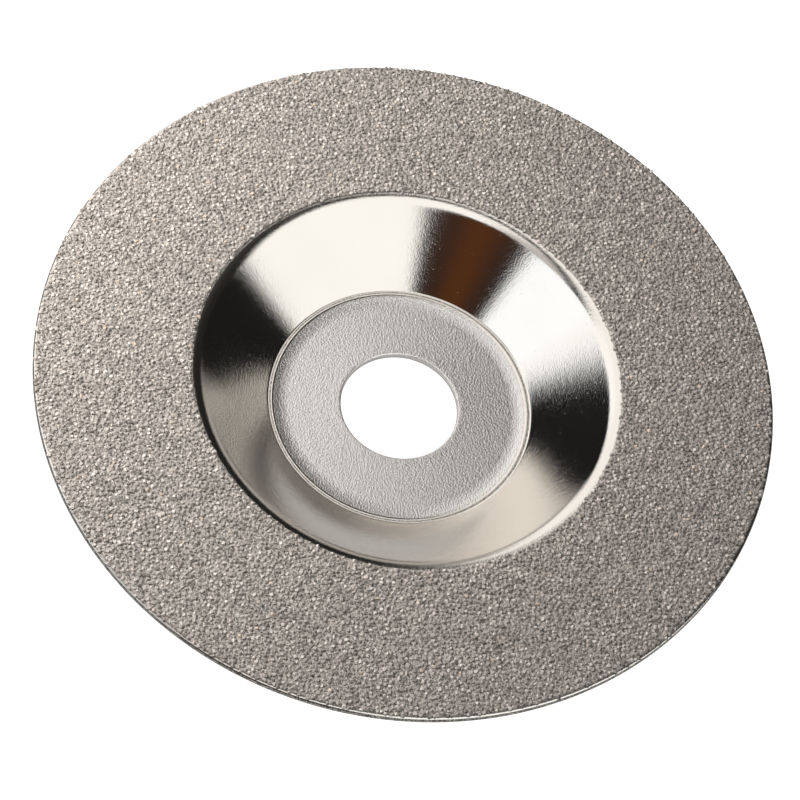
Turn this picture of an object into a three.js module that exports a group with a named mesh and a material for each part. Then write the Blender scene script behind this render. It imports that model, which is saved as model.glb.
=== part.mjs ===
// A 100 mm diamond grinding wheel with a depressed centre, for an angle grinder.
//
// The body is one pressing of sheet steel: a flat rim, a lip rolled over into a conical dish, and at the
// bottom of the dish a narrow land that steps down to a flat hub with the spindle bore. A nickel bond is
// electroplated onto the front of the rim, and a single layer of diamond grains is held in it.
//
// Millimetres, +Z along the wheel's axis towards the grinding face. The origin is the centre of the
// bore in the plane of the hub's back face, on which the wheel sits against the grinder's flange.
import * as THREE from "three";

// Driving sizes
const WHEEL_R = 50;
const BORE_R = 8;
const SHEET = 1.0; // thickness of the steel
const RIM_FRONT_Z = 9.3; // front of the rim, above the back of the hub
const MOUTH_R = 28.17; // where the cone would meet the front of the rim if the lip were sharp
const FOOT_R = 18.05; // foot of the cone
const LAND = { width: 0.6, rise: 0.2 }; // the ring between the foot and the step, above the hub
const STEP_RUN = 0.9; // width of the step from the land down to the hub
const BOND = { inner: 29.1, outer: 49.65, thickness: 0.2 };
const GRIT = { inner: 29.15, outer: 49.6, height: 0.22 };

// Radii of the bends, on the front of the sheet
const STEP_BEND = 3.0;
const LAND_EDGE = 0.5;
const FOOT_BEND = 0.3;
const LIP_BEND = 3.0;
const TIGHTEST_BEND = 0.2; // on the back of the sheet

// Radii of the cut edges
const BORE_EDGE = 0.2;
const RIM_EDGE = 0.35;

const TURNS = 96; // facets round the wheel

const point = (r, z) => new THREE.Vector2(r, z);

// The front of the sheet between its two cut edges, from the hub outwards.
const landZ = SHEET + LAND.rise;
const landInner = FOOT_R - LAND.width;
const BENDS = [
  { at: point(landInner - STEP_RUN, SHEET), radius: STEP_BEND, steps: 3 },
  { at: point(landInner, landZ), radius: LAND_EDGE, steps: 2 },
  { at: point(FOOT_R, landZ), radius: FOOT_BEND, steps: 2 },
  { at: point(MOUTH_R, RIM_FRONT_Z), radius: LIP_BEND, steps: 5 },
];

const cornerBefore = (corners, i) => corners.at(i - 1).at;
const cornerAfter = (corners, i) => corners[(i + 1) % corners.length].at;

// The round of a corner, as steps + 1 points from one tangent point to the other.
function round(before, { at, radius, steps }, after) {
  const back = before.clone().sub(at).normalize();
  const on = after.clone().sub(at).normalize();
  const halfAngle = Math.acos(back.dot(on)) / 2;
  const start = at.clone().addScaledVector(back, radius / Math.tan(halfAngle));
  const middle = back.clone().add(on).normalize();
  const centre = at.clone().addScaledVector(middle, radius / Math.sin(halfAngle));
  const turn = Math.sign(back.cross(on)) * (2 * halfAngle - Math.PI);
  const points = [];
  for (let i = 0; i <= steps; i++) {
    points.push(start.clone().rotateAround(centre, (turn * i) / steps));
  }
  return points;
}

// The same bends on the back of the sheet: each corner moves to where the two offset sides meet, and
// its radius grows by the thickness where the front is hollow and shrinks by it where it is crowned.
function backOf(bends) {
  const hubSide = { at: point(BORE_R, SHEET) };
  const rimSide = { at: point(WHEEL_R, RIM_FRONT_Z) };
  const front = [hubSide, ...bends, rimSide];
  return bends.map(({ at, radius, steps }, i) => {
    const into = at.clone().sub(front[i].at).normalize();
    const out = front[i + 2].at.clone().sub(at).normalize();
    const halfTurn = into.cross(out) / (1 + into.dot(out)); // tangent of half the bend's angle
    const shift = point(into.y + halfTurn * into.x, halfTurn * into.y - into.x);
    const backRadius = Math.max(radius + Math.sign(halfTurn) * SHEET, TIGHTEST_BEND);
    return { at: at.clone().addScaledVector(shift, SHEET), radius: backRadius, steps };
  });
}

// A closed ring turned about Z from its section's corners, listed anticlockwise with Z up.
function turnedRing(corners) {
  const section = corners.flatMap((corner, i) =>
    corner.radius ? round(cornerBefore(corners, i), corner, cornerAfter(corners, i)) : [corner.at],
  );
  section.push(section[0].clone());
  return new THREE.LatheGeometry(section, TURNS).rotateX(Math.PI / 2);
}

function pressedSteelBody() {
  const rimBackZ = RIM_FRONT_Z - SHEET;
  return turnedRing([
    { at: point(BORE_R, 0), radius: BORE_EDGE, steps: 1 },
    ...backOf(BENDS),
    { at: point(WHEEL_R, rimBackZ), radius: RIM_EDGE, steps: 2 },
    { at: point(WHEEL_R, RIM_FRONT_Z), radius: RIM_EDGE, steps: 2 },
    ...BENDS.toReversed(),
    { at: point(BORE_R, SHEET), radius: BORE_EDGE, steps: 1 },
  ]);
}

// A flat ring whose underside lies at height z.
function flatRing(inner, outer, z, thickness) {
  return turnedRing([
    { at: point(inner, z) },
    { at: point(outer, z) },
    { at: point(outer, z + thickness) },
    { at: point(inner, z + thickness) },
  ]);
}

function named(name, geometry, color, roughness, metalness) {
  const material = new THREE.MeshStandardMaterial({ color, roughness, metalness });
  const mesh = new THREE.Mesh(geometry, material);
  mesh.name = name;
  return mesh;
}

const bondTopZ = RIM_FRONT_Z + BOND.thickness;
const nickelBond = flatRing(BOND.inner, BOND.outer, RIM_FRONT_Z, BOND.thickness);
const diamondGrit = flatRing(GRIT.inner, GRIT.outer, bondTopZ, GRIT.height);

const wheel = new THREE.Group();
wheel.add(
  named("pressed_steel_body", pressedSteelBody(), 0xcfc8bf, 0.15, 1),
  named("nickel_bond", nickelBond, 0xa9a19b, 0.4, 1),
  named("diamond_grit", diamondGrit, 0xb5aba3, 0.6, 0),
);

export default wheel;
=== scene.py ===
import math

import bmesh
import bpy
import numpy as np
from mathutils import Euler, Matrix, Vector, kdtree


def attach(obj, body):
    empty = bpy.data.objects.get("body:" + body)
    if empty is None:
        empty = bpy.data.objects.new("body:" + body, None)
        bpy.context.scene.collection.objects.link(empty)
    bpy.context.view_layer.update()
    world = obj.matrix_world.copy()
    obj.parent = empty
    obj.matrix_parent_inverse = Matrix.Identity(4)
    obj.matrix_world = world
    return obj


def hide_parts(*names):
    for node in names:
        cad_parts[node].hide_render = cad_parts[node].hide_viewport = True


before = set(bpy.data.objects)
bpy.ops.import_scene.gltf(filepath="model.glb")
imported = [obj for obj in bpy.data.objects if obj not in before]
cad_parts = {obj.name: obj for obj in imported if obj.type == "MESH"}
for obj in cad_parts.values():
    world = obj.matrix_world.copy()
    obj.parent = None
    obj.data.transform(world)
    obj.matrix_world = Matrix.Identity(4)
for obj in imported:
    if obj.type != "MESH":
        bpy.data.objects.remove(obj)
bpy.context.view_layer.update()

MM = 0.001
RANDOM = np.random.default_rng(20240611)


# ---------------------------------------------------------------- sizes from the frame

def ring_size(node):
    """Inner radius, outer radius, bottom and top of a turned CAD node, in millimetres."""
    points = np.array([v.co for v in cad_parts[node].data.vertices]) / MM
    radius = np.hypot(points[:, 0], points[:, 1])
    sizes = (radius.min(), radius.max(), points[:, 2].min(), points[:, 2].max())
    return [round(float(size), 3) for size in sizes]


BORE_R, WHEEL_R, HUB_BACK_Z, RIM_FRONT_Z = ring_size("pressed_steel_body")
COAT_INNER_R, COAT_OUTER_R, _, BOND_TOP_Z = ring_size("nickel_bond")
GRIT_TOP_Z = ring_size("diamond_grit")[3]
SHEET = 1.0  # thickness of the steel
HUB_FRONT_Z = HUB_BACK_Z + SHEET
RIM_BACK_Z = RIM_FRONT_Z - SHEET


# ---------------------------------------------------------------- camera

VIEW_ELEVATION = 59.63
VIEW_ROLL = 16.67
VIEW_DISTANCE = 438.0
VIEW_SLIDE = (-1.14, -3.27)  # along the camera's own right and up
LENS = 147.4


def make_camera():
    """The camera looks down on the dish from in front, turned a little about its own axis."""
    camera = bpy.data.objects.new("camera", bpy.data.cameras.new("camera"))
    bpy.context.scene.collection.objects.link(camera)
    tilt = Euler((math.radians(90 - VIEW_ELEVATION), 0, 0)).to_matrix()
    turn = tilt @ Euler((0, 0, math.radians(VIEW_ROLL))).to_matrix()
    target = Vector((0, 0, RIM_FRONT_Z))
    place = target + turn @ Vector((*VIEW_SLIDE, VIEW_DISTANCE))
    camera.matrix_world = Matrix.Translation(place * MM) @ turn.to_4x4()
    camera.data.lens = LENS
    camera.data.clip_start = 0.01
    bpy.context.scene.camera = camera


# ---------------------------------------------------------------- node helpers

class Nodes:
    """Short calls for building one node tree."""

    def __init__(self, tree):
        self.tree = tree
        tree.nodes.clear()

    def add(self, kind, **settings):
        node = self.tree.nodes.new(kind)
        for name, value in settings.items():
            setattr(node, name, value)
        return node

    def put(self, value, socket):
        """Feeds a socket with another node's output, or sets it to a plain value."""
        if isinstance(value, bpy.types.NodeSocket):
            self.tree.links.new(value, socket)
        else:
            socket.default_value = value

    def math(self, operation, a, b=0.0):
        node = self.add("ShaderNodeMath", operation=operation)
        self.put(a, node.inputs[0])
        self.put(b, node.inputs[1])
        return node.outputs[0]

    def ramp(self, value, low, high, to_low=0.0, to_high=1.0):
        """value from low to high, smoothly mapped to a range."""
        node = self.add("ShaderNodeMapRange", interpolation_type="SMOOTHSTEP")
        for socket, v in zip(node.inputs, (value, low, high, to_low, to_high)):
            self.put(v, socket)
        return node.outputs[0]

    def band(self, value, low, high, soft):
        """1 between low and high, with soft edges as wide as soft, and 0 outside."""
        rise = self.ramp(value, low - soft / 2, low + soft / 2)
        fall = self.ramp(value, high - soft / 2, high + soft / 2, 1.0, 0.0)
        return self.math("MULTIPLY", rise, fall)

    def blend(self, share, a, b):
        node = self.add("ShaderNodeMix", data_type="RGBA")
        self.put(share, node.inputs[0])
        self.put(a, node.inputs[6])
        self.put(b, node.inputs[7])
        return node.outputs[2]

    def place(self):
        """The point's place in the CAD's frame, in millimetres."""
        node = self.add("ShaderNodeVectorMath", operation="SCALE")
        self.put(self.add("ShaderNodeTexCoord").outputs["Object"], node.inputs[0])
        node.inputs["Scale"].default_value = 1 / MM
        return node.outputs[0]

    def noise(self, at, scale, detail=2.0, roughness=0.5):
        node = self.add("ShaderNodeTexNoise")
        self.put(at, node.inputs["Vector"])
        node.inputs["Scale"].default_value = scale
        node.inputs["Detail"].default_value = detail
        node.inputs["Roughness"].default_value = roughness
        return node.outputs["Fac"]

    def cells(self, at, scale, feature="F1"):
        node = self.add("ShaderNodeTexVoronoi", feature=feature)
        self.put(at, node.inputs["Vector"])
        node.inputs["Scale"].default_value = scale
        return node.outputs["Distance"]

    def total(self, *terms):
        value = terms[0]
        for term in terms[1:]:
            value = self.math("ADD", value, term)
        return value

    def bump(self, height, depth):
        """A surface relief that is depth millimetres deep where height goes from 0 to 1."""
        node = self.add("ShaderNodeBump")
        node.inputs["Distance"].default_value = depth * MM
        self.put(height, node.inputs["Height"])
        return node.outputs[0]

    def principled(self, **inputs):
        node = self.add("ShaderNodeBsdfPrincipled")
        for name, value in inputs.items():
            self.put(value, node.inputs[name.replace("_", " ")])
        out = self.add("ShaderNodeOutputMaterial")
        self.put(node.outputs[0], out.inputs["Surface"])


def new_material(name):
    material = bpy.data.materials.new(name)
    material.use_nodes = True
    return material, Nodes(material.node_tree)


# ---------------------------------------------------------------- light

def sky_panel(nodes, azimuth, elevation, across, up, soft):
    """How much of a direction lies in a panel of the sky, in degrees. across may run past 360."""
    middle, half = sum(across) / 2, (across[1] - across[0]) / 2
    off = nodes.math("SUBTRACT", azimuth, middle)
    turned = nodes.math("WRAP", off, 180.0)
    turned.node.inputs[2].default_value = -180.0
    sideways = nodes.band(turned, -half, half, soft)
    return nodes.math("MULTIPLY", sideways, nodes.band(elevation, *up, soft))


# Panels of the sky: azimuth from and to, elevation from and to, width of the soft edge, colour.
# Angles are in degrees. A later panel covers the ones before it.
PANELS = (
    ((50, 130), (-20, 21), 8, (0.42, 0.4, 0.375)),  # dim glow low down behind the wheel
    ((23, 203), (50, 100), 6, (1.08, 1.06, 1.03)),  # the ceiling's far half
    ((203, 383), (50, 100), 6, (1.17, 1.17, 1.15)),  # the ceiling's near half
    ((200, 240), (50, 72), 8, (0.60, 0.58, 0.56)),  # grey corner of the ceiling
    ((14, 86), (40, 71), 7, (0.05, 0.047, 0.044)),  # dark gap on the far right
    ((16, 98), (30, 54), 6, (0.02, 0.019, 0.018)),
    ((101, 114), (25, 72), 8, (1.1, 1.08, 1.05)),  # window on the far left, in three steps
    ((110, 130), (13, 72), 8, (1.1, 1.08, 1.05)),
    ((127, 146), (27, 72), 4, (1.1, 1.08, 1.05)),
    ((143, 230), (26.8, 47), 3, (1.22, 1.26, 1.31)),  # soft box on the left
    ((143, 190), (30, 60), 6, (1.18, 1.18, 1.17)),
    ((286, 371), (22.5, 64), 6, (1.17, 1.18, 1.16)),  # soft box on the right
    ((236, 279), (30, 56), 8, (0.045, 0.022, 0.014)),  # dark stand in front, with a brown middle
    ((247, 265), (30, 50), 9, (0.095, 0.032, 0.01)),
)
UNLIT = (0.012, 0.012, 0.012)  # everything between the panels

# The dark seam between the ceiling's halves lies in the plane at right angles to SEAM_SIDE.
SEAM_SIDE = (0.395, -0.907, 0.145)
SEAM_HALF_WIDTH = 0.09
SEAM_SOFT = 0.04
SEAM_ELEVATION = (44, 50)  # the seam fades in between these
SEAM_COLOUR = (0.03, 0.028, 0.026)


def make_world():
    """A studio with soft boxes and a pale ceiling, and a plain white background for the camera."""
    world = bpy.data.worlds.new("studio")
    world.use_nodes = True
    bpy.context.scene.world = world
    n = Nodes(world.node_tree)
    axes = n.add("ShaderNodeSeparateXYZ")
    way = n.add("ShaderNodeTexCoord").outputs["Generated"]
    n.put(way, axes.inputs[0])
    azimuth = n.math("DEGREES", n.math("ARCTAN2", axes.outputs[1], axes.outputs[0]))
    elevation = n.math("DEGREES", n.math("ARCSINE", axes.outputs[2]))
    light = (*UNLIT, 1)
    for across, up, soft, colour in PANELS:
        share = sky_panel(n, azimuth, elevation, across, up, soft)
        light = n.blend(share, light, (*colour, 1))
    seam = n.add("ShaderNodeVectorMath", operation="DOT_PRODUCT")
    n.put(way, seam.inputs[0])
    n.put(SEAM_SIDE, seam.inputs[1])
    across_seam = n.band(seam.outputs["Value"], -SEAM_HALF_WIDTH, SEAM_HALF_WIDTH, SEAM_SOFT)
    seam_share = n.math("MULTIPLY", across_seam, n.ramp(elevation, *SEAM_ELEVATION))
    light = n.blend(seam_share, light, (*SEAM_COLOUR, 1))
    seen = n.add("ShaderNodeLightPath").outputs["Is Camera Ray"]
    background = n.add("ShaderNodeBackground")
    n.put(n.blend(seen, light, (1, 1, 1, 1)), background.inputs["Color"])
    n.put(background.outputs[0], n.add("ShaderNodeOutputWorld").inputs["Surface"])


KEY_POWER = 1.68  # watts
KEY_SIZE = 100 * MM
KEY_DISTANCE = 200 * MM
KEY_AZIMUTH, KEY_ELEVATION = math.radians(170), math.radians(37)
KEY_COLOUR = (1.0, 0.96, 0.925)


def make_key_light(pieces):
    """A lamp close on the left that lights only the wheel, so that its left is the brighter side."""
    light = bpy.data.lights.new("key", "AREA")
    light.energy = KEY_POWER
    light.size = KEY_SIZE
    light.color = KEY_COLOUR
    lamp = bpy.data.objects.new("key", light)
    bpy.context.scene.collection.objects.link(lamp)
    flat = Vector((math.cos(KEY_AZIMUTH), math.sin(KEY_AZIMUTH), 0)) * math.cos(KEY_ELEVATION)
    away = flat + Vector((0, 0, math.sin(KEY_ELEVATION)))
    lamp.location = away * KEY_DISTANCE
    lamp.rotation_euler = away.to_track_quat("Z", "Y").to_euler()
    lamp.visible_camera = False
    lamp.visible_glossy = False
    wheel = bpy.data.collections.new("wheel")
    for piece in pieces:
        wheel.objects.link(piece)
    lamp.light_linking.receiver_collection = wheel


FLOOR_HALF = 4.0  # half the floor's side, in metres
FLOOR_DROP = 0.02 * MM  # keeps the floor clear of the back of the hub
FLOOR_GLOW = 0.95  # lifts the floor to the background's white, for the camera only


def make_floor():
    mesh = bpy.data.meshes.new("floor")
    corners = [(FLOOR_HALF * x, FLOOR_HALF * y, 0) for x, y in ((-1, -1), (1, -1), (1, 1), (-1, 1))]
    mesh.from_pydata(corners, [], [(0, 1, 2, 3)])
    floor = bpy.data.objects.new("floor", mesh)
    bpy.context.scene.collection.objects.link(floor)
    floor.location.z = -FLOOR_DROP
    material, n = new_material("pale floor")
    seen = n.add("ShaderNodeLightPath").outputs["Is Camera Ray"]
    glow = n.math("MULTIPLY", seen, FLOOR_GLOW)
    n.principled(Base_Color=(0.8, 0.8, 0.8, 1), Roughness=0.9,
                 Emission_Color=(1, 1, 1, 1), Emission_Strength=glow)
    mesh.materials.append(material)


# ---------------------------------------------------------------- turned shapes

CORNER_STEPS = 10


def round_corner(before, corner, after, radius):
    """The round of a corner, as points from one tangent point to the other."""
    back = (before - corner).normalized()
    on = (after - corner).normalized()
    half = back.angle(on) / 2
    centre = corner + (back + on).normalized() * (radius / math.sin(half))
    start = corner + back * (radius / math.tan(half)) - centre
    end = corner + on * (radius / math.tan(half)) - centre
    sweep = math.copysign(math.pi - 2 * half, start.x * end.y - start.y * end.x)
    points = []
    for i in range(CORNER_STEPS + 1):
        angle = sweep * i / CORNER_STEPS
        cos, sin = math.cos(angle), math.sin(angle)
        points.append(centre + Vector((start.x * cos - start.y * sin, start.x * sin + start.y * cos)))
    return points


def section(corners, longest):
    """A closed section from (radius, height, corner radius) corners, with no side longer than longest."""
    places = [Vector(c[:2]) for c in corners]
    points = []
    for i, (_, _, radius) in enumerate(corners):
        before, after = places[i - 1], places[(i + 1) % len(places)]
        if radius:
            points += round_corner(before, places[i], after, radius)
        else:
            points.append(places[i])
    filled = []
    for a, b in zip(points, points[1:] + points[:1]):
        pieces = max(1, math.ceil((b - a).length / longest))
        filled += [a.lerp(b, k / pieces) for k in range(pieces)]
    return np.array(filled)


def ring_corners(turns, count):
    """For each point of a ring of turns sections: itself, next turn, next turn and along, and along."""
    here = np.arange(turns)[:, None] * count + np.arange(count)[None, :]
    along = np.roll(here, -1, axis=1)
    return here, np.roll(here, -1, axis=0), np.roll(along, -1, axis=0), along


def turned_mesh(name, outline, turns):
    """A closed ring from a section turned about Z."""
    angle = np.linspace(0, 2 * math.pi, turns, endpoint=False)
    radius = np.repeat(outline[:, 0][None, :], turns, axis=0)
    height = np.repeat(outline[:, 1][None, :], turns, axis=0)
    turn = np.repeat(angle[:, None], len(outline), axis=1)
    points = np.stack([radius * np.cos(turn), radius * np.sin(turn), height], axis=-1)
    here, on, on_along, along = ring_corners(turns, len(outline))
    quads = np.stack([here, on, on_along, along], axis=-1)
    return mesh_from(name, points.reshape(-1, 3) * MM, quads.reshape(-1, 4))


def mesh_from(name, points, faces, smooth=True):
    """A mesh from arrays of points and of faces with the same number of corners each."""
    mesh = bpy.data.meshes.new(name)
    corners = faces.shape[1]
    mesh.vertices.add(len(points))
    mesh.vertices.foreach_set("co", np.asarray(points, np.float32).ravel())
    mesh.loops.add(faces.size)
    mesh.loops.foreach_set("vertex_index", np.asarray(faces, np.int32).ravel())
    mesh.polygons.add(len(faces))
    mesh.polygons.foreach_set("loop_start", np.arange(0, faces.size, corners, dtype=np.int32))
    mesh.update(calc_edges=True)
    mesh.polygons.foreach_set("use_smooth", np.full(len(faces), smooth))
    return mesh


def add_piece(name, mesh, node, material):
    """Puts a mesh in the scene in place of a CAD node."""
    piece = bpy.data.objects.new(name, mesh)
    bpy.context.scene.collection.objects.link(piece)
    mesh.materials.append(material)
    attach(piece, "root")
    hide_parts(node)
    return piece


# ---------------------------------------------------------------- the pressed body

FOOT_R = 18.05  # foot of the cone
MOUTH_R = 28.17  # where the cone would meet the front of the rim if the lip were sharp
LAND_WIDTH = 0.6
LAND_RISE = 0.2
STEP_RUN = 0.9

# Radii of the bends and of the cut edges
LIP_BEND, LIP_BACK_BEND = 3.0, 1.6
STEP_BEND, STEP_BACK_BEND = 3.0, 4.0
LAND_EDGE, LAND_BACK_EDGE = 0.5, 0.2
FOOT_BEND, FOOT_BACK_BEND = 0.3, 0.9
BORE_EDGE, BORE_BACK_EDGE = 0.3, 0.15
RIM_EDGE = 0.35

LONGEST_SIDE = 0.45  # of the section's polygon


def body_section():
    """The section of the pressing: along its back from the bore outwards, then back along its front."""
    land_z = HUB_FRONT_Z + LAND_RISE
    land_r = FOOT_R - LAND_WIDTH
    cone = (RIM_FRONT_Z - land_z) / (MOUTH_R - FOOT_R)
    fall = math.sqrt(1 + cone * cone) * SHEET
    back_foot = FOOT_R + (fall - SHEET) / cone
    back_mouth = back_foot + (RIM_BACK_Z - land_z + SHEET) / cone
    tilt = math.tan(math.atan(LAND_RISE / STEP_RUN) / 2)
    return section([
        (BORE_R, HUB_BACK_Z, BORE_BACK_EDGE),
        (land_r - STEP_RUN + tilt, HUB_BACK_Z, STEP_BACK_BEND),
        (land_r + tilt, HUB_BACK_Z + LAND_RISE, LAND_BACK_EDGE),
        (back_foot, HUB_BACK_Z + LAND_RISE, FOOT_BACK_BEND),
        (back_mouth, RIM_BACK_Z, LIP_BACK_BEND),
        (WHEEL_R, RIM_BACK_Z, RIM_EDGE),
        (WHEEL_R, RIM_FRONT_Z, RIM_EDGE),
        (MOUTH_R, RIM_FRONT_Z, LIP_BEND),
        (FOOT_R, land_z, FOOT_BEND),
        (land_r, land_z, LAND_EDGE),
        (land_r - STEP_RUN, HUB_FRONT_Z, STEP_BEND),
        (BORE_R, HUB_FRONT_Z, BORE_EDGE),
    ], LONGEST_SIDE)


# Radii of the changes in the nickel, in millimetres
HUB_EDGE = (16.9, 17.5)
SATIN_EDGE = (15.4, 16.4)
LIP_EDGE = (26.8, 28.2)
CROWN_EDGE = 15.4
HOLLOW = (15.6, 16.8)
# painted shade: a thin dark line on the land at the foot of the cone
PAINTED_SHADE_RADII = (17.62, 17.84)
CUT_EDGE = (WHEEL_R - 0.1, WHEEL_R - 0.04)

NICKEL_RELIEF = 0.05  # depth of the nickel's relief where its height goes from 0 to 1, in millimetres


def nickel_relief(n, at, radius, hub, grain, fine):
    """Faint peel, pits and grain. The hub is coarser, and its shading rises to the bore and to the step."""
    peel = n.math("MULTIPLY", n.noise(at, 1.6, 3.0, 0.6), 0.12)
    coarse = n.math("MULTIPLY", grain, n.ramp(hub, 0, 1, 0.05, 1.5))
    specks = n.math("MULTIPLY", fine, n.ramp(radius, *LIP_EDGE, 0.2, 0.35))
    pits = n.math("MULTIPLY", n.ramp(n.cells(at, 1.1), 0.03, 0.12), 0.1)
    inside = n.math("MAXIMUM", n.math("SUBTRACT", CROWN_EDGE, radius), 0.0)
    crown = n.math("MULTIPLY", inside, 0.9)
    hollow = n.ramp(radius, *HOLLOW, 0.0, 1.2)
    return n.total(peel, coarse, specks, pits, n.total(crown, hollow))


def nickel_tint(n, at, radius, hub, rim, grain, fine):
    """Warm nickel, greyer on the hub, with a speckled line of painted shade on the land at the step, and
    dark and pale specks on the cut edge.
    """
    tint = n.blend(n.noise(at, 0.12, 2.0), (0.80, 0.755, 0.70, 1), (0.84, 0.805, 0.76, 1))
    tint = n.blend(hub, tint, (0.80, 0.778, 0.76, 1))
    # painted shade: darkens the nickel in a thin line on the land, speckled by the fine noise
    painted_shade_line = n.math("MULTIPLY", n.band(radius, *PAINTED_SHADE_RADII, 0.1), n.ramp(fine, 0.3, 0.6))
    tint = n.blend(painted_shade_line, tint, (0.16, 0.15, 0.13, 1))
    # dark and pale specks on the cut edge, darker on average than the nickel
    edge_specks = n.blend(n.ramp(grain, 0.42, 0.58), (0.12, 0.11, 0.1, 1), (0.75, 0.71, 0.66, 1))
    return n.blend(rim, tint, edge_specks)


def bright_nickel():
    """Bright nickel over pressed steel: a mirror on the cone, satin on the hub, dull on the cut edge."""
    material, n = new_material("bright nickel")
    at = n.place()
    axes = n.add("ShaderNodeSeparateXYZ")
    n.put(at, axes.inputs[0])
    x, y = axes.outputs[0], axes.outputs[1]
    radius = n.math("SQRT", n.math("ADD", n.math("MULTIPLY", x, x), n.math("MULTIPLY", y, y)))
    hub = n.ramp(radius, *HUB_EDGE, 1.0, 0.0)
    rim = n.ramp(radius, *CUT_EDGE)
    grain = n.noise(at, 4.5, 2.0, 0.55)
    fine = n.noise(at, 5.0, 2.0, 0.6)
    relief = nickel_relief(n, at, radius, hub, grain, fine)
    tint = nickel_tint(n, at, radius, hub, rim, grain, fine)
    satin = n.math("MULTIPLY", hub, n.ramp(radius, *SATIN_EDGE, 0.13, 0.15))
    roughness = n.total(0.06, satin, n.math("MULTIPLY", grain, 0.04), n.math("MULTIPLY", rim, 0.3))
    n.principled(Base_Color=tint, Metallic=n.ramp(hub, 0, 1, 1.0, 0.95), Roughness=roughness,
                 Normal=n.bump(relief, NICKEL_RELIEF))
    return material


BODY_TURNS = 360


def make_body():
    mesh = turned_mesh("pressed_body", body_section(), BODY_TURNS)
    return add_piece("pressed_body", mesh, "pressed_steel_body", bright_nickel())


# ---------------------------------------------------------------- the grit

GRAIN_GAP = 0.5  # least distance between the middles of two grains
GRAIN_HALF_WIDTH = (0.28, 0.38)
GRAIN_STRETCH = (0.78, 1.15)
GRAIN_UNEVEN = 0.12  # how far a grain's corners stray, as a share of its half width
GRAIN_LEAST_RISE = 0.1  # of a grain's tip above the bond
GRAIN_FOOT = 0.01  # height of the lowest part of a grain above the steel
GRAIN_PIECES = 3
GRAIN_COLOURS = (
    (0.0, (0.115, 0.105, 0.096)),
    (0.3, (0.187, 0.172, 0.159)),
    (0.7, (0.26, 0.24, 0.224)),
    (0.98, (0.354, 0.329, 0.308)),
    (1.0, (0.30, 0.245, 0.195)),
)
EDGE_SHIFT = 0.06
EDGE_SIDE = math.radians(170)


def spread(points):
    """Moves the grains so that the coat's outer edge wanders, and is nearer the wheel's on one side."""
    radius = np.hypot(points[..., 0], points[..., 1])
    angle = np.arctan2(points[..., 1], points[..., 0])
    share = (radius - COAT_INNER_R) / (COAT_OUTER_R - COAT_INNER_R)
    reach = EDGE_SHIFT * np.cos(angle - EDGE_SIDE)
    reach += 0.03 * np.sin(7 * angle) + 0.02 * np.sin(17 * angle + 1)
    return points * (1 + share * reach / radius)[..., None]


TRIES_PER_PLACE = 4  # enough to leave no wide gaps between the grains


def scatter(inner, outer, gap):
    """Random points on a ring, none closer than gap, in millimetres."""
    cell = gap / math.sqrt(2)
    taken = {}
    points = []
    most = int(1.6 * math.pi * (outer ** 2 - inner ** 2) / gap ** 2)
    count = TRIES_PER_PLACE * most
    radius = np.sqrt(RANDOM.uniform(inner ** 2, outer ** 2, count))
    angle = RANDOM.uniform(0, 2 * math.pi, count)
    tries = np.stack([radius * np.cos(angle), radius * np.sin(angle)], axis=-1)
    near = [(i, j) for i in (-2, -1, 0, 1, 2) for j in (-2, -1, 0, 1, 2)]
    for x, y in tries.tolist():
        a, b = math.floor(x / cell), math.floor(y / cell)
        if any(
            (x - q[0]) ** 2 + (y - q[1]) ** 2 < gap * gap
            for q in (taken.get((a + i, b + j)) for i, j in near) if q
        ):
            continue
        taken[a, b] = (x, y)
        points.append((x, y))
    return np.array(points)


def crystal_shape():
    """A cuboctahedron: the corners and triangles of a blocky diamond crystal."""
    corners = [(x, y, 0) for x in (-1, 1) for y in (-1, 1)]
    corners += [(x, 0, z) for x in (-1, 1) for z in (-1, 1)]
    corners += [(0, y, z) for y in (-1, 1) for z in (-1, 1)]
    shape = bmesh.new()
    for corner in corners:
        shape.verts.new(Vector(corner) / math.sqrt(2))
    bmesh.ops.convex_hull(shape, input=shape.verts)
    bmesh.ops.triangulate(shape, faces=shape.faces)
    shape.verts.index_update()
    points = np.array([v.co for v in shape.verts])
    faces = np.array([[v.index for v in f.verts] for f in shape.faces])
    shape.free()
    return points, faces


def random_turns(count):
    """Random rotation matrices."""
    q = RANDOM.normal(size=(count, 4))
    w, x, y, z = (q / np.linalg.norm(q, axis=1)[:, None]).T
    return np.stack([
        1 - 2 * (y * y + z * z), 2 * (x * y - z * w), 2 * (x * z + y * w),
        2 * (x * y + z * w), 1 - 2 * (x * x + z * z), 2 * (y * z - x * w),
        2 * (x * z - y * w), 2 * (y * z + x * w), 1 - 2 * (x * x + y * y),
    ], axis=-1).reshape(count, 3, 3)


def grain_material():
    """Greyish diamond, each grain its own shade, and a few of them amber."""
    material, n = new_material("diamond grain")
    each = n.add("ShaderNodeNewGeometry").outputs["Random Per Island"]
    ramp = n.add("ShaderNodeValToRGB")
    n.put(each, ramp.inputs[0])
    elements = ramp.color_ramp.elements
    while len(elements) < len(GRAIN_COLOURS):
        elements.new(0.5)
    for element, (position, colour) in zip(elements, GRAIN_COLOURS):
        element.position = position
        element.color = (*colour, 1)
    n.principled(Base_Color=ramp.outputs[0], Metallic=0.3, Roughness=0.4)
    return material


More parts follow.
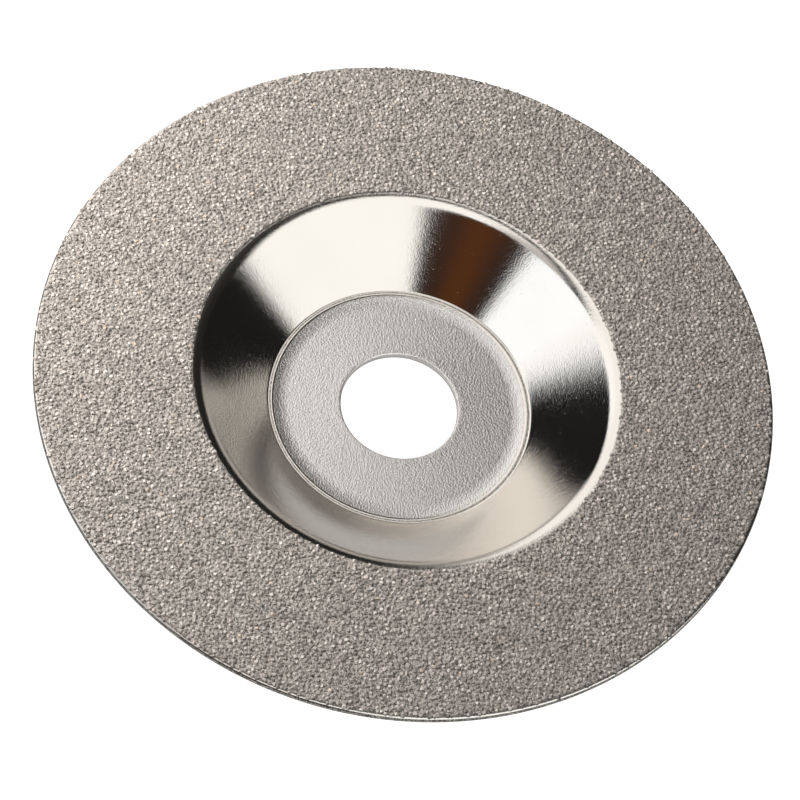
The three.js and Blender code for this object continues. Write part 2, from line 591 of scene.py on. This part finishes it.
def grain_shapes(places):
    """The corners of every grain, each a little different, and the faces of one."""
    corners, faces = crystal_shape()
    count = len(places)
    half = RANDOM.uniform(*GRAIN_HALF_WIDTH, count)
    stretch = RANDOM.uniform(*GRAIN_STRETCH, (count, 1, 3))
    uneven = RANDOM.uniform(-GRAIN_UNEVEN, GRAIN_UNEVEN, (count, *corners.shape))
    shape = (corners[None] + uneven) * stretch
    shape = np.einsum("nij,nkj->nki", random_turns(count), shape) * half[:, None, None]
    tip = shape[:, :, 2].max(axis=1)
    peak = RANDOM.uniform(BOND_TOP_Z + GRAIN_LEAST_RISE, GRIT_TOP_Z, count)
    shape[:, :, 2] += (peak - tip)[:, None]
    shape[:, :, 2] = np.maximum(shape[:, :, 2], RIM_FRONT_Z + GRAIN_FOOT)
    shape[:, :, :2] += places[:, None, :]
    return shape, faces


def make_grains():
    """The single layer of diamond grains, sunk in the nickel. Returns the pieces and the grains' places."""
    places = spread(scatter(COAT_INNER_R, COAT_OUTER_R, GRAIN_GAP))
    shape, faces = grain_shapes(places)
    material = grain_material()
    pieces = []
    for part in range(GRAIN_PIECES):
        mine = shape[part::GRAIN_PIECES]
        index = faces[None] + (np.arange(len(mine)) * shape.shape[1])[:, None, None]
        points = mine.reshape(-1, 3) * MM
        mesh = mesh_from(f"grains_{part + 1}", points, index.reshape(-1, 3), smooth=False)
        name = f"diamond_grains_{part + 1}"
        pieces.append(add_piece(name, mesh, "diamond_grit", material))
    return pieces, places


# ---------------------------------------------------------------- the nickel bond

BOND_RINGS, BOND_TURNS = 90, 1080
BOND_INNER_R = COAT_INNER_R - 0.05
BOND_OUTER_R = COAT_OUTER_R - 0.03
BOND_EDGE = 0.03  # width of the slope at each edge of the bond
BOND_DIP = 0.06  # of the bond between grains, below its top
CLIMB_HEIGHT, CLIMB_REACH = 0.08, 0.3  # of the nickel up the side of a grain
BOND_UNEVEN = 0.02
EDGE_DEPTH, UNDERSIDE_DEPTH = 0.01, 0.03  # below the front of the steel


def bond_top(places):
    """The bond's front as a grid of points, turn by turn, highest next to the grains."""
    middle = np.linspace(BOND_INNER_R + BOND_EDGE, BOND_OUTER_R - BOND_EDGE, BOND_RINGS - 2)
    radius = np.array([BOND_INNER_R, *middle, BOND_OUTER_R])
    angle = np.linspace(0, 2 * math.pi, BOND_TURNS, endpoint=False)
    r, a = np.meshgrid(radius, angle)
    x, y = r * np.cos(a), r * np.sin(a)
    tree = kdtree.KDTree(len(places))
    for i, (px, py) in enumerate(places):
        tree.insert((px, py, 0), i)
    tree.balance()
    near = [tree.find((px, py, 0))[2] for px, py in zip(x.ravel(), y.ravel())]
    climb = np.exp(-((np.array(near).reshape(x.shape) / CLIMB_REACH) ** 2))
    uneven = RANDOM.uniform(-BOND_UNEVEN, BOND_UNEVEN, x.shape)
    z = BOND_TOP_Z - BOND_DIP + CLIMB_HEIGHT * climb + uneven
    z[:, 0] = z[:, -1] = RIM_FRONT_Z - EDGE_DEPTH
    return np.stack([x, y, z], axis=-1)


def matte_bond():
    """Dark matte nickel in small nodules, with painted shade in its pits."""
    material, n = new_material("matte nickel bond")
    at = n.place()
    nodules = n.cells(at, 4.5, "SMOOTH_F1")
    pits = n.noise(at, 3.2, 3.0, 0.65)
    relief = n.math("ADD", nodules, pits)
    # the nickel's own colour is dark; painted shade darkens it further where the pits' relief is low
    tint = n.blend(n.ramp(pits, 0.35, 0.62), (0.07, 0.064, 0.057, 1), (0.31, 0.285, 0.264, 1))
    n.principled(Base_Color=tint, Metallic=0.45, Roughness=0.42, Normal=n.bump(relief, 0.12))
    return material


def make_bond(places):
    """The plated nickel, a thin ring sunk into the steel, which climbs a little up each grain."""
    top = bond_top(places)
    bottom = top[:, [0, -1]].copy()
    bottom[:, :, 2] = RIM_FRONT_Z - UNDERSIDE_DEPTH
    loop = np.concatenate([top, bottom[:, ::-1]], axis=1)
    here, on, on_along, along = ring_corners(*loop.shape[:2])
    quads = np.stack([here, along, on_along, on], axis=-1)
    mesh = mesh_from("plated_bond", loop.reshape(-1, 3) * MM, quads.reshape(-1, 4))
    return add_piece("plated_bond", mesh, "nickel_bond", matte_bond())


# ---------------------------------------------------------------- the scene

bpy.context.scene.view_settings.view_transform = "Standard"
make_camera()
make_world()
make_floor()
body = make_body()
grains, places = make_grains()
bond = make_bond(places)
make_key_light([body, bond, *grains])
